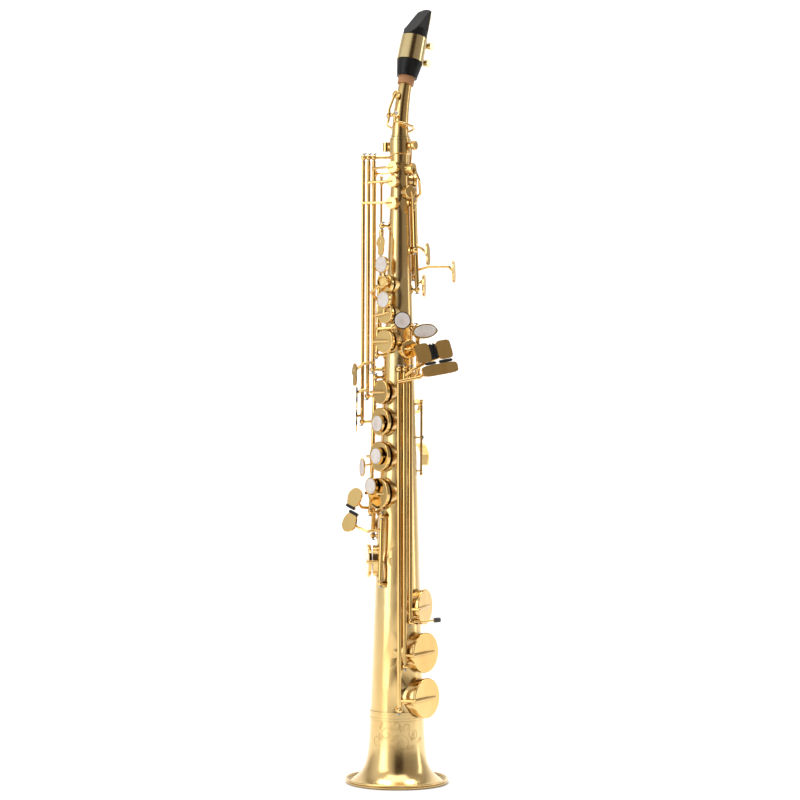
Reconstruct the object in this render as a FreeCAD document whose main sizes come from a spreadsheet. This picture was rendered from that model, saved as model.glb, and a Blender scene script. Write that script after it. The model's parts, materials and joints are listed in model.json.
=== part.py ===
"""A straight soprano saxophone with a curved neck, built as its real pieces.

Frame: millimetres, +Z up along the bore, the bell's rim resting on z = 0.  A direction round the bore is an
angle in degrees: 0 faces the front (-Y), 90 the player's left (+X), 180 the player (+Y).
"""
import FreeCAD, Part
import Sketcher
import math
import os
import re

V = FreeCAD.Vector
DOC = FreeCAD.newDocument("soprano_saxophone")
SHEET = DOC.addObject("Spreadsheet::Sheet", "Sizes")

SIZES = {
    # the body's cone and wall
    "body_bottom": 58.0, "body_top": 566.0, "top_radius": 7.4, "taper": 0.0332, "wall": 0.8,
    # the bell's flare
    "rim_radius": 46.0, "rim_width": 2.9, "rim_height": 2.3, "flare_length": 8.8,
    # tone holes, pads and cups
    "chimney_rise": 3.0, "chimney_wall": 0.9, "pad_lip": 1.3, "pad_thick": 2.4, "cup_wall": 0.8,
    "cup_top": 1.0, "seat_gap": 0.25, "pad_proud": 0.5,
    # hinges
    "tube_radius": 2.0, "rod_radius": 1.1, "running_gap": 0.05, "post_ball": 2.6, "post_stem": 1.4,
    "post_foot": 3.4, "foot_thick": 0.9, "end_gap": 0.3, "arm_radius": 1.35,
    # touches
    "pearl_radius": 6.9, "pearl_thick": 1.5, "pearl_rim": 0.8,
    # neck, cork and mouthpiece
    "neck_length": 71.5, "neck_tip_radius": 5.2, "neck_bend": 15.5, "neck_turn": 138.0,
    "receiver_radius": 9.6, "receiver_length": 11.0, "cork_radius": 7.4, "cork_length": 21.0,
    "mouthpiece_length": 68.5, "shank_radius": 9.2, "barrel_radius": 11.6, "reed_width": 12.4,
}
for row, (alias, value) in enumerate(SIZES.items(), start=1):
    SHEET.set(f"A{row}", alias)
    SHEET.set(f"B{row}", str(value))
    SHEET.setAlias(f"B{row}", alias)
DOC.recompute()


def size(alias):
    """The value that the sheet holds under this alias."""
    return float(getattr(SHEET, alias))


# ------------------------------------------------------------------ geometry round the bore

def outward(angle):
    """The unit vector that points away from the bore at this angle."""
    a = math.radians(angle)
    return V(math.sin(a), -math.cos(a), 0)


def body_radius(z):
    """The body's outer radius at height z."""
    return size("top_radius") + (size("body_top") - z) * size("taper")


def spot(angle, z, height):
    """The point this far above the body's skin."""
    return outward(angle) * (body_radius(z) + height) + V(0, 0, z)


def cylinder(start, end, radius):
    return Part.makeCylinder(radius, (end - start).Length, start, end - start)


def cone(start, end, radius_1, radius_2):
    if abs(radius_1 - radius_2) < 1e-6:
        return cylinder(start, end, radius_1)
    return Part.makeCone(radius_1, radius_2, (end - start).Length, start, end - start)


def ball(centre, radius):
    return Part.makeSphere(radius, centre)


def fused(shapes):
    """One solid from shapes that overlap."""
    whole = shapes[0].multiFuse(shapes[1:]) if len(shapes) > 1 else shapes[0]
    clean = whole.removeSplitter()
    return clean if clean.isValid() else whole


def limb(points, radii):
    """A rod-like arm through points, with a ball at each bend."""
    pieces = []
    for i in range(len(points) - 1):
        pieces.append(cone(points[i], points[i + 1], radii[i], radii[i + 1]))
    for point, radius in zip(points, radii):
        pieces.append(ball(point, radius))
    return fused(pieces)


def slab(centre, normal, up, outline, thick):
    """A plate of that outline (x, y pairs) about centre, facing normal, with its y along up."""
    n = V(normal).normalize()
    across = V(up).cross(n).normalize()
    upright = n.cross(across)
    points = [centre + across * x + upright * y - n * (thick / 2) for x, y in outline]
    curve = Part.BSplineCurve()
    curve.interpolate(points, PeriodicFlag=True)
    face = Part.Face(Part.Wire([curve.toShape()]))
    return face.extrude(n * thick)


def disc(centre, normal, radius, thick, edge=0.0):
    """A round plate whose back face is centred on centre, with its front edge rounded."""
    plate = Part.makeCylinder(radius, thick, centre, normal)
    if edge > 0:
        front = [e for e in plate.Edges if abs((e.CenterOfMass - centre).dot(normal) - thick) < 1e-6
                 and e.Length > radius]
        plate = plate.makeFillet(min(edge, 0.45 * thick), front)
    return plate


# ------------------------------------------------------------------ objects of the document

PARTS = []          # the sub-parts, in the order made
JOINTS = []         # (body, rod start, rod end, lowest and highest degrees, closing sense)
BODIES = {}         # body name -> labels


def keep(label, shape, body="body"):
    """A sub-part whose shape is made by Part's own functions."""
    piece = DOC.addObject("Part::Feature", label)
    piece.Shape = shape
    piece.Label = label
    PARTS.append(piece)
    BODIES.setdefault(body, []).append(label)
    return piece


def register(piece, label, body="body"):
    piece.Label = label
    PARTS.append(piece)
    BODIES.setdefault(body, []).append(label)
    return piece


def turned_body(label, corners, body="body", placement=None):
    """A PartDesign revolution about the body's own Z axis; each corner is a pair of sheet expressions."""
    design = DOC.addObject("PartDesign::Body", label)
    sketch = design.newObject("Sketcher::SketchObject", label + "_profile")
    plane = [f for f in design.Origin.OriginFeatures if f.Role == "XZ_Plane"][0]
    sketch.AttachmentSupport = [(plane, "")]
    sketch.MapMode = "FlatFace"
    at = [(value_of(x), value_of(z)) for x, z in corners]
    count = len(corners)
    for i in range(count):
        a, b = at[i], at[(i + 1) % count]
        sketch.addGeometry(Part.LineSegment(V(a[0], a[1], 0), V(b[0], b[1], 0)), False)
    for i in range(count):
        sketch.addConstraint(Sketcher.Constraint("Coincident", i, 2, (i + 1) % count, 1))
    for i, (x, z) in enumerate(corners):
        for axis_name, expression, axis in (("DistanceX", x, -2), ("DistanceY", z, -1)):
            if expression == "0":
                sketch.addConstraint(Sketcher.Constraint("PointOnObject", i, 1, axis))
                continue
            c = sketch.addConstraint(Sketcher.Constraint(axis_name, -1, 1, i, 1, value_of(expression)))
            sketch.setExpression(f"Constraints[{c}]", sheet_words(expression))
    DOC.recompute()
    turn = design.newObject("PartDesign::Revolution", label + "_turn")
    turn.Profile = sketch
    turn.ReferenceAxis = (sketch, ["V_Axis"])
    turn.Angle = 360
    design.Tip = turn
    if placement:
        design.Placement = placement
    DOC.recompute()
    return register(design, label, body)


def sheet_words(expression):
    """The expression with each alias written as a cell of the sheet."""
    return re.sub(r"[a-z][a-z_0-9]*", lambda found: "Sizes." + found.group(0), expression)


def value_of(expression):
    """What a sum of numbers, sizes and products such as 9*taper comes to with the sheet's values."""
    total, sign = 0.0, 1.0
    for word in expression.split():
        if word in "+-":
            sign = 1.0 if word == "+" else -1.0
            continue
        product = 1.0
        for factor in word.split("*"):
            product *= size(factor) if factor in SIZES else float(factor)
        total += sign * product
    return total


# ------------------------------------------------------------------ hinges and posts

class Rod:
    """A pivot rod between two ball posts.  Keys turn on it; start is its lower end."""

    def __init__(self, name, start, end, inner=None):
        self.name, self.start, self.end = name, start, end
        self.axis = (end - start).normalize()
        self.inner = inner

    def at(self, z):
        """The point of the rod's centreline at height z."""
        return self.start + self.axis * ((z - self.start.z) / self.axis.z)

    def tube(self, z_low, z_high):
        """A key's hinge tube, not yet bored."""
        return cylinder(self.at(z_low), self.at(z_high), size("tube_radius"))

    def bore(self):
        reach = self.axis * 30
        return cylinder(self.start - reach, self.end + reach, size("rod_radius") + size("running_gap"))

    def steel(self):
        past = self.axis * (size("post_ball") + 0.6)
        return cylinder(self.start - past, self.end + past, size("rod_radius"))


def lengthwise(name, angle, z_low, z_high, height):
    """A rod that runs along the body at this angle, this far above the skin."""
    return Rod(name, spot(angle, z_low, height), spot(angle, z_high, height))


def slanting(name, low, high, height):
    """A rod from one (angle, z) to another, this far above the skin at both ends."""
    return Rod(name, spot(*low, height), spot(*high, height))


def upright(name, angle, z_low, z_high, reach):
    """A rod parallel to the bore, this far from it."""
    return Rod(name, outward(angle) * reach + V(0, 0, z_low), outward(angle) * reach + V(0, 0, z_high))


def angle_of(point):
    """The angle at which a point stands round the bore."""
    return math.degrees(math.atan2(point.x, -point.y))


def post(point, foot_angle, others=()):
    """A ball post: foot on the skin, stem, and a ball (and more balls) round the rod centrelines."""
    radial = outward(foot_angle)
    base = radial * (body_radius(point.z) - size("wall")) + V(0, 0, point.z)
    foot_top = radial * (body_radius(point.z) + size("foot_thick")) + V(0, 0, point.z)
    pieces = [cylinder(base, foot_top, size("post_foot")), cylinder(base, point, size("post_stem"))]
    pieces += [ball(p, size("post_ball")) for p in (point, *others)]
    return fused(pieces)


POSTS = []
STEEL = []


def mount_rod(rod, extra_heights=()):
    """Posts at both ends of the rod, and between, with the steel rod through them."""
    drilled = cylinder(rod.start - rod.axis * 9, rod.end + rod.axis * 9, size("rod_radius") + 0.02)
    for z in (rod.start.z, rod.end.z, *extra_heights):
        POSTS.append(post(rod.at(z), angle_of(rod.at(z))).cut(drilled))
    STEEL.append(rod.steel())


# ------------------------------------------------------------------ keys

class Cup:
    """A pad cup over a tone hole, shown closed: cup, pad and where the arm lands."""

    def __init__(self, angle, z, hole, domed=0.8):
        self.angle, self.z, self.hole = angle, z, hole
        self.n = outward(angle)
        self.seat = self.n * (body_radius(z) + size("chimney_rise")) + V(0, 0, z)
        pad_radius = hole + size("pad_lip")
        self.radius = pad_radius + size("cup_wall")
        pad_foot = self.seat + self.n * size("seat_gap")
        self.pad = disc(pad_foot, self.n, pad_radius - 0.05, size("pad_thick"))
        cup_foot = pad_foot + self.n * size("pad_proud")
        depth = size("pad_thick") - size("pad_proud")
        shell = disc(cup_foot, self.n, self.radius, depth + size("cup_top"), domed)
        hollow = Part.makeCylinder(pad_radius, depth + 0.02, cup_foot - self.n * 0.02, self.n)
        self.shell = shell.cut(hollow)
        self.top = cup_foot + self.n * (depth + size("cup_top"))


CUPS = []


def new_cup(angle, z, hole):
    cup = Cup(angle, z, hole)
    CUPS.append(cup)
    return cup


def over_arm(rod, z, cup, lift=1.0, past=0.62):
    """An arm from the rod to the cup: it rises to the cup's top and tapers out along it."""
    start = rod.at(z)
    side = (start - cup.top)
    flat = side - cup.n * side.dot(cup.n)
    edge = cup.top + flat.normalize() * (cup.radius + 1.2) + cup.n * lift
    tip = cup.top - flat.normalize() * (cup.radius * past)
    r = size("arm_radius")
    return limb([start, edge, cup.top + cup.n * 0.5, tip + cup.n * 0.1], [r, r, r, 0.55 * r])


def pearl_holder(centre, normal, radius=None):
    """The round brass holder of a finger pearl, and the pearl, both facing normal."""
    radius = radius or size("pearl_radius")
    rim, thick = size("pearl_rim"), size("pearl_thick")
    back = centre - normal * (thick + 1.0)
    holder = Part.makeCylinder(radius + rim, thick + 1.0, back, normal)
    seat = Part.makeCylinder(radius, thick + 0.1, centre - normal * thick, normal)
    pearl = disc(centre - normal * (thick - 0.02), normal, radius - 0.05, thick + 0.5, 0.6)
    return holder.cut(seat), pearl


def bored(pieces, rod, trim=()):
    """One key of brass: the pieces joined, with the rod's bore through them."""
    whole = fused(pieces).cut(rod.bore())
    for other in trim:
        whole = whole.cut(other)
    solids = sorted(whole.Solids, key=lambda s: s.Volume)
    return solids[-1]


def opening_sense(rod, cup):
    """+1 if turning by the right-hand rule about the rod lifts the cup off its seat, else -1."""
    return 1.0 if rod.axis.cross(cup.top - rod.at(cup.z)).dot(cup.n) > 0 else -1.0


def placed_at_rest(shape, rod, cup, opened):
    """The shape turned so that it is where it was given once the key stands open."""
    turned = shape.copy()
    turned.rotate(rod.start, rod.axis, -opening_sense(rod, cup) * opened)
    return turned


def key(name, rod, pieces, pads=(), pearls=(), cup=None, opened=0.0, travel=0.0, trim=()):
    """A key as a body of its own.  A cup that stands open is turned back by opened degrees from its closed
    place; the joint then runs from rest, through travel degrees."""
    sense = opening_sense(rod, cup) if cup is not None else 1.0
    body = name
    trim = (*trim, *[shape for _, shape in (*pads, *pearls)])
    shapes = [(name, bored(pieces, rod, trim))]
    shapes += [(f"{name}_{word}", shape) for word, shape in (*pads, *pearls)]
    for label, shape in shapes:
        if opened:
            shape = shape.copy()
            shape.rotate(rod.start, rod.axis, sense * opened)
        keep(label, shape, body)
    # positive travel opens a closed key and closes an open one
    toward = -sense if opened else sense
    JOINTS.append((body, rod.start, rod.axis * toward, travel))


# ------------------------------------------------------------------ lower stack: F sharp, F, E and D

low_rod = lengthwise("low_stack", -82, 243, 364, 7.0)
mount_rod(low_rod)
STACK_ANGLE = -44


def finger_key(name, rod, cup, arm_z, span, pearl_at=None, pearl_radius=None, opened=9.0, stem_up=2.6):
    """A key of a stack: hinge tube, cup with its arm, and a finger pearl where it has one."""
    pieces = [rod.tube(*span), cup.shell, over_arm(rod, arm_z, cup)]
    pearls = []
    if pearl_at:
        angle, z = pearl_at
        spread = outward(angle) * (cup.top.dot(outward(cup.angle)) / math.cos(math.radians(angle - cup.angle)))
        foot = V(spread.x, spread.y, z)
        centre = foot + cup.n * (stem_up + size("pearl_thick"))
        holder, pearl = pearl_holder(centre, cup.n, pearl_radius)
        pieces += [holder, limb([cup.top + cup.n * 0.6, foot, centre - cup.n * 3.1], [1.5, 1.5, 1.5])]
        pearls.append(("pearl", pearl))
    key(name, rod, pieces, pads=[("pad", cup.pad)], pearls=pearls, cup=cup, opened=opened, travel=opened)


fs_cup, f_cup = new_cup(STACK_ANGLE, 350.5, 8.8), new_cup(STACK_ANGLE, 324, 10.6)
e_cup, d_cup = new_cup(STACK_ANGLE, 293, 11.4), new_cup(STACK_ANGLE, 260, 12.0)
finger_key("key_F_sharp", low_rod, fs_cup, 350.5, (340, 361), opened=9)
finger_key("key_F", low_rod, f_cup, 324, (309.5, 339.5), (-40, 322.5), opened=7)
finger_key("key_E", low_rod, e_cup, 293, (277.5, 309), (-41, 293.5), opened=7)
finger_key("key_D", low_rod, d_cup, 260, (246, 277), (-56, 266.5), opened=6.5)

# ------------------------------------------------------------------ upper stack: G, A, B and bis

up_rod = lengthwise("high_stack", -82, 384, 500, 6.5)
mount_rod(up_rod)
g_cup, a_cup, b_cup = new_cup(-36, 396, 8.6), new_cup(-37, 421, 7.2), new_cup(-38, 447, 6.4)

g_pearl_centre = outward(16) * (body_radius(415) + 8.0) + V(0, 0, 414.5)
g_holder, g_pearl = pearl_holder(g_pearl_centre, outward(9))
g_over = outward(-45) * (body_radius(408) + 10.4) + V(0, 0, 407.3)
g_beside = outward(-10) * (body_radius(408) + 8.6) + V(0, 0, 408)
key("key_G", up_rod,
    [up_rod.tube(387, 411.6), g_cup.shell, over_arm(up_rod, 396, g_cup), g_holder,
     limb([up_rod.at(407.3), g_over, g_beside, g_pearl_centre - outward(9) * 3.0], [1.3] * 4)],
    pads=[("pad", g_cup.pad)], pearls=[("pearl", g_pearl)], cup=g_cup, opened=8, travel=8)
finger_key("key_A", up_rod, a_cup, 419, (412.5, 428), (-30, 433), opened=8)
finger_key("key_B", up_rod, b_cup, 445, (437, 455), (-42, 464.5), opened=8, stem_up=2.2)

bis_cup = new_cup(-112, 434, 4.4)
bis_normal = outward(-38)
bis_centre = bis_normal * (body_radius(449) + 16.3) + V(0, 0, 449)
bis_holder, bis_pearl = pearl_holder(bis_centre, bis_normal, 4.6)
key("key_bis", up_rod,
    [up_rod.tube(428.5, 436.5), bis_cup.shell, over_arm(up_rod, 434, bis_cup, lift=0.6),
     bis_holder, limb([up_rod.at(432.5), outward(-70) * (body_radius(440) + 15.8) + V(0, 0, 439.6),
                       bis_centre - bis_normal * 2.9], [1.3, 1.2, 1.2])],
    cup=bis_cup, opened=4, travel=4)

# ------------------------------------------------------------------ front F

plate = [(-3.6, 0), (-3.0, 7.5), (0, 9.5), (3.0, 7.5), (3.6, 0), (2.6, -7.0), (0, -8.6), (-2.6, -7.0)]
front_at = outward(-50) * (body_radius(481) + 11.5) + V(0, 0, 481)
key("key_front_F", up_rod,
    [up_rod.tube(476, 497), slab(front_at, outward(-38), V(0.05, 0, 1), plate, 1.3),
     limb([up_rod.at(493), outward(-62) * (body_radius(496) + 10) + V(0, 0, 494), front_at + V(0, 0, 4)],
          [1.3, 1.3, 1.2])],
    travel=-9)

# ------------------------------------------------------------------ side keys of the right hand

SIDE_ANGLE = -97


def side_key(name, reach, z_low, z_high, cup, paddle_at, path, lean, elbow=(-0.4, 5.2, 0.9)):
    """A long side key: paddle below, upright hinge tube, and a small cup near the top.

    elbow is the cup arm's rise at its bend, its reach forward, and its share of the cup's radius."""
    rise, forward, share = elbow
    rod = upright(name + "_rod", SIDE_ANGLE, z_low, z_high, reach)
    turn = rod.at(cup.z + rise) + outward(SIDE_ANGLE + 88) * forward
    edge = cup.top + (turn - cup.top).normalize() * (cup.radius * share) + cup.n * 1.6
    paddle = [(-2.9, 0), (-2.4, 8), (0, 10.4), (2.4, 8), (2.9, 0), (2.2, -8), (0, -10), (-2.2, -8)]
    pieces = [cylinder(rod.at(z_low + 2.9), rod.at(z_high - 2.9), 1.7), cup.shell,
              limb([rod.at(cup.z), turn, edge, cup.top + cup.n * 0.2], [1.2, 1.25, 1.1, 0.9]),
              slab(paddle_at, outward(SIDE_ANGLE + lean), V(0, 0, 1), paddle, 1.4),
              limb([rod.at(z_low + 6), *path, paddle_at + V(0, 0, 4)], [1.3] * (len(path) + 1) + [1.1])]
    bored_key = fused(pieces).cut(rod.bore())
    keep(name, sorted(bored_key.Solids, key=lambda s: s.Volume)[-1], name)
    JOINTS.append((name, rod.start, rod.axis * opening_sense(rod, cup), 12.0))
    SIDE_PADS.append((name, cup))
    return rod


SIDE_PADS = []
side_cups = [new_cup(-29, 552, 3.2), new_cup(-29, 539.4, 3.2), new_cup(-30, 520, 3.5)]
side_rods = [side_key("side_key_E", 23.6, 371, 562, side_cups[0], V(-39.5, -4.0, 366),
                      [V(-23.6, -3.2, 377.5), V(-31.5, -5.2, 376)], 40),
             side_key("side_key_C", 28.3, 347, 562, side_cups[1], V(-37.6, -0.8, 346),
                      [V(-28.2, -2.6, 352.5), V(-33.5, -2.8, 352)], 8),
             side_key("side_key_B_flat", 33.0, 324, 562, side_cups[2], V(-37.8, 1.6, 325), [], 8,
                      elbow=(0.7, 5.4, 0.8))]
for rod in side_rods:
    drill = cylinder(rod.start - rod.axis * 9, rod.end + rod.axis * 9, size("rod_radius") + 0.02)
    stem = post(rod.start, SIDE_ANGLE)
    POSTS.append(stem.cut(drill))
    STEEL.append(rod.steel())
crown = post(side_rods[2].end, SIDE_ANGLE, others=[r.end for r in side_rods[:2]])
for rod in side_rods:
    crown = crown.cut(cylinder(rod.end - V(0, 0, 9), rod.end + V(0, 0, 9), size("rod_radius") + 0.02))
POSTS.append(crown)

# ------------------------------------------------------------------ palm keys of the left hand

LEAF = [(-3.4, 0), (-3.2, 6.0), (0, 10.6), (3.2, 6.0), (3.4, 0), (2.8, -6.4), (0, -9.6), (-2.8, -6.4)]


def palm_key(name, rod, cup, touch_at, touch_normal, touch_up, via, round_by=()):
    """A lever whose leaf-shaped touch and cup lie on opposite sides of its hinge tube."""
    mount_rod(rod)
    z_low, z_high = rod.start.z, rod.end.z
    step = size("post_ball") + size("end_gap")
    land = rod.at(z_high - 7)
    side = cup.top - land
    flat = (side - V(0, 0, side.z)).normalize()
    aside = land + flat * 4.6 + cup.n * 1.6
    edge = cup.top - side.normalize() * (cup.radius + 0.8) + cup.n * 1.2
    over = [aside, edge] if not round_by else round_by
    pieces = [rod.tube(z_low + step, z_high - step), cup.shell,
              limb([land, *over, cup.top + cup.n * 0.5], [1.3] + [1.2] * len(over) + [0.9]),
              slab(touch_at, touch_normal, touch_up, LEAF, 1.6),
              limb([rod.at(z_low + 5), *via, touch_at], [1.3] + [1.25] * len(via) + [1.1])]
    SIDE_PADS.append((name, cup))
    key(name, rod, pieces, cup=cup, travel=12)


def palm_rod(name, angle, z_low, z_high):
    return lengthwise(name, angle, z_low, z_high, 4.6)


palm_d_cup, palm_f_cup, palm_e_cup = new_cup(40, 530, 3.8), new_cup(62, 551, 3.4), new_cup(104, 541, 3.6)
palm_key("palm_key_D", palm_rod("palm_D", 68, 478, 521), palm_d_cup, V(25.5, -6.0, 474),
         outward(62), V(-0.28, 0, 1), [V(19.5, -6.6, 480)])
palm_key("palm_key_F", palm_rod("palm_F", 92, 443, 531), palm_f_cup, V(22.4, 6.0, 446.5),
         outward(70), V(-0.12, 0, 1), [V(19.4, 5.0, 451)],
         [outward(82) * 18.8 + V(0, 0, 529), outward(69) * 18.6 + V(0, 0, 541)])
palm_key("palm_key_E_flat", palm_rod("palm_E_flat", 128, 455, 530), palm_e_cup, V(49.0, 1.5, 459),
         outward(70), V(-0.42, 0, 1), [V(27.0, 6.0, 464), V(44.5, 3.0, 464)])

# ------------------------------------------------------------------ little-finger table of the left hand

TABLE_AT = V(32, -17, 387)
TABLE_N = V(0.42, -0.86, 0.24).normalize()
TABLE_ACROSS = (V(0.96, 0.28, 0.22) - TABLE_N * V(0.96, 0.28, 0.22).dot(TABLE_N)).normalize()
TABLE_UP = TABLE_N.cross(TABLE_ACROSS)


def on_table(across, up, lift=0.0):
    return TABLE_AT + TABLE_ACROSS * across + TABLE_UP * up + TABLE_N * lift


def signed_power(value, exponent):
    return math.copysign(abs(value) ** exponent, value)


def table_plate(across, up, half_wide, half_high, thick=1.8, squareness=0.42):
    """A touch plate of the table, a rectangle with soft corners."""
    turns = [math.radians(15 * i) for i in range(24)]
    outline = [(half_wide * signed_power(math.cos(t), squareness),
                half_high * signed_power(math.sin(t), squareness)) for t in turns]
    return slab(on_table(across, up), TABLE_N, TABLE_UP, outline, thick)


bb_rod = slanting("low_B_flat", (4, 68), (0, 371), 6.2)
b_rod = slanting("low_B", (13.5, 107), (15, 371), 6.2)
cs_rod = slanting("low_C_sharp", (25, 146), (31, 371), 6.2)
for long_rod in (bb_rod, b_rod, cs_rod):
    mount_rod(long_rod)

bb_cup, b_cup_low, cs_cup = new_cup(58.5, 77.5, 16.0), new_cup(58, 118, 16.0), new_cup(66, 158.5, 14.0)

cs_plate, b_plate = table_plate(-12.2, 0.5, 7.2, 8.6), table_plate(9.8, 0.5, 7.4, 8.6)
bb_plate = table_plate(0.5, -16.6, 18.2, 5.2)


def low_key(name, rod, cup, arm_z, plate, elbows, end, opened):
    step = size("post_ball") + size("end_gap")
    lever = limb([rod.at(elbows[0]), *elbows[1], end], [1.5] + [1.45] * len(elbows[1]) + [1.3])
    pieces = [rod.tube(rod.start.z + step, rod.end.z - step), cup.shell, over_arm(rod, arm_z, cup, lift=1.2),
              placed_at_rest(plate, rod, cup, opened), placed_at_rest(lever, rod, cup, opened)]
    key(name, rod, pieces, pads=[("pad", cup.pad)], cup=cup, opened=opened, travel=opened or 8)


low_key("key_low_B_flat", bb_rod, bb_cup, 76.5, bb_plate,
        (360, [V(0, -26.4, 360), on_table(-20, -20, -3)]), on_table(-10, -16.6, -1.2), 6.5)
low_key("key_low_B", b_rod, b_cup_low, 117, b_plate,
        (365, [on_table(-24, -12, -7), on_table(-10, -8, -4.6), on_table(4, -5, -4.2)]),
        on_table(9.8, -4.5, -1.2), 6.5)
low_key("key_low_C_sharp", cs_rod, cs_cup, 157.5, cs_plate,
        (362.5, [on_table(-16.5, -14, -13.5), on_table(-14, -4, -9)]), on_table(-13, 2, -1.2), 0.0)

gs_cup = new_cup(30, 389, 6.4)
gs_rod = lengthwise("g_sharp", 70, 366, 409, 4.8)
mount_rod(gs_rod)
oval = [(12.6 * math.cos(math.radians(a)), 6.6 * math.sin(math.radians(a))) for a in range(0, 360, 45)]
inner_oval = [(x * 0.88, y * 0.82) for x, y in oval]
gs_touch_at = on_table(-5.0, 19.5, 0.6)
gs_plate = slab(gs_touch_at, TABLE_N, TABLE_UP, oval, 2.4)
gs_pearl = slab(gs_touch_at + TABLE_N * 1.0, TABLE_N, TABLE_UP, inner_oval, 1.4)
key("key_G_sharp", gs_rod,
    [gs_rod.tube(369, 406), gs_cup.shell, over_arm(gs_rod, 389, gs_cup), gs_plate.cut(gs_pearl),
     limb([gs_rod.at(400), V(21.5, -12.5, 402.5), gs_touch_at - TABLE_N * 1.0], [1.4, 1.4, 1.3])],
    pads=[("pad", gs_cup.pad)], pearls=[("pearl", gs_pearl)], cup=gs_cup, travel=8)

# ------------------------------------------------------------------ little-finger keys of the right hand

c_cup, eb_cup = new_cup(-88, 199, 13.2), new_cup(-152, 230, 9.0)
c_rod = lengthwise("low_C", -38, 180, 240, 5.0)
eb_rod = lengthwise("low_E_flat", -108, 221, 251, 5.0)
mount_rod(c_rod)
mount_rod(eb_rod)
ROUND = [(-7.6, -1.5), (-6.2, 6.4), (0, 9.6), (6.2, 6.4), (7.6, -1.5), (5.0, -6.6), (0, -7.6), (-5.0, -6.6)]
PINKY_N = V(-0.62, -0.74, 0.26).normalize()
PINKY_UP = V(0.42, 0.0, 0.9)
eb_touch, c_touch = V(-39.0, -12.0, 255.5), V(-43.0, -14.5, 234.5)
DOWN_UP = PINKY_UP * -1.0

c_lever = [slab(c_touch, PINKY_N, DOWN_UP, ROUND, 1.9),
           limb([c_rod.at(228), V(-27.0, -22.0, 226.5), V(-34.5, -17.0, 229), c_touch - PINKY_N * 0.8],
                [1.5, 1.4, 1.3, 1.2])]
key("key_low_C", c_rod,
    [c_rod.tube(183, 237), c_cup.shell, over_arm(c_rod, 199, c_cup, lift=1.2),
     *[placed_at_rest(piece, c_rod, c_cup, 6.5) for piece in c_lever]],
    pads=[("pad", c_cup.pad)], cup=c_cup, opened=6.5, travel=6.5)
key("key_low_E_flat", eb_rod,
    [eb_rod.tube(224, 248), eb_cup.shell, over_arm(eb_rod, 230, eb_cup, lift=1.2),
     slab(eb_touch, PINKY_N, PINKY_UP, ROUND, 1.9),
     limb([eb_rod.at(245.5), V(-33.0, -2.0, 247), eb_touch - PINKY_N * 0.8], [1.5, 1.4, 1.2])],
    pads=[("pad", eb_cup.pad)], cup=eb_cup, travel=8)

# ------------------------------------------------------------------ neck, cork and mouthpiece

NECK_DIR = outward(size("neck_turn"))
COLLAR_Z = size("body_top") + size("receiver_length") + 1.2
ARC_LENGTH = size("neck_length") - size("cork_length")
BEND = math.radians(size("neck_bend"))


def neck_at(s):
    """Centre and direction of the neck, this far along it above the collar."""
    radius = ARC_LENGTH / BEND
    turn = min(s, ARC_LENGTH) / radius
    aim = NECK_DIR * math.sin(turn) + V(0, 0, math.cos(turn))
    centre = NECK_DIR * (radius * (1 - math.cos(turn))) + V(0, 0, COLLAR_Z + radius * math.sin(turn))
    return centre + aim * max(0.0, s - ARC_LENGTH), aim


def neck_outer(s):
    start = size("receiver_radius") - 1.8
    return start + (size("neck_tip_radius") - start) * min(1.0, s / size("neck_length"))


def neck_loft(shrink, s_from, s_to, stations=9):
    rings = []
    for i in range(stations):
        s = s_from + (s_to - s_from) * i / (stations - 1)
        centre, aim = neck_at(s)
        rings.append(Part.Wire([Part.makeCircle(neck_outer(s) - shrink, centre, aim)]))
    return Part.makeLoft(rings, True, False)


tenon_radius = size("receiver_radius") - 1.65
tenon_foot = V(0, 0, size("body_top") + 0.2)
collar_foot = V(0, 0, size("body_top") + size("receiver_length") + 0.2)
neck_tube = fused([neck_loft(0, 0, size("neck_length")),
                   cylinder(tenon_foot, V(0, 0, COLLAR_Z + 0.5), tenon_radius),
                   cylinder(collar_foot, collar_foot + V(0, 0, 2.2), size("receiver_radius") - 0.4),
                   cylinder(collar_foot + V(0, 0, 3.4), collar_foot + V(0, 0, 4.6), size("receiver_radius") - 1.2)])
bore_foot = cylinder(V(0, 0, size("body_top") - 1), V(0, 0, COLLAR_Z + 0.02), neck_outer(0) - 1.0)
neck_tube = neck_tube.cut(neck_loft(1.0, 0, size("neck_length") + 0.0)).cut(bore_foot)
tip, tip_aim = neck_at(size("neck_length"))
neck_tube = neck_tube.cut(cylinder(tip - tip_aim, tip + tip_aim * 3, neck_outer(size("neck_length")) - 1.0))
PIP_AT = 38.0
pip_centre, pip_aim = neck_at(PIP_AT)
FRONT = (NECK_DIR * -1 - pip_aim * (NECK_DIR * -1).dot(pip_aim)).normalize()
pip = cylinder(pip_centre, pip_centre + FRONT * (neck_outer(PIP_AT) + 2.2), 2.0)
pip_hole = cylinder(pip_centre, pip_centre + FRONT * 20, 0.9)
neck_tube = neck_tube.fuse(pip.cut(neck_loft(0.6, 0, size("neck_length")))).cut(pip_hole)
NECK_PIVOT = 20.0
pivot_centre, pivot_aim = neck_at(NECK_PIVOT)
pivot_front = (NECK_DIR * -1 - pivot_aim * (NECK_DIR * -1).dot(pivot_aim)).normalize()
pivot_side = pivot_aim.cross(pivot_front).normalize()
pivot_at = pivot_centre + pivot_front * (neck_outer(NECK_PIVOT) + 4.6)
neck_rod = Rod("neck_key", pivot_at - pivot_side * 5.6, pivot_at + pivot_side * 5.6)
neck_drill = cylinder(neck_rod.start, neck_rod.end, size("rod_radius") + 0.02)
saddle = fused([cylinder(pivot_at - pivot_front * 7.4, pivot_at, 1.3), ball(pivot_at, 2.0)])
saddle = saddle.cut(neck_loft(0, 0, size("neck_length"))).cut(neck_drill)
keep("neck", neck_tube.removeSplitter(), "body")
POSTS.append(saddle)

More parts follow.
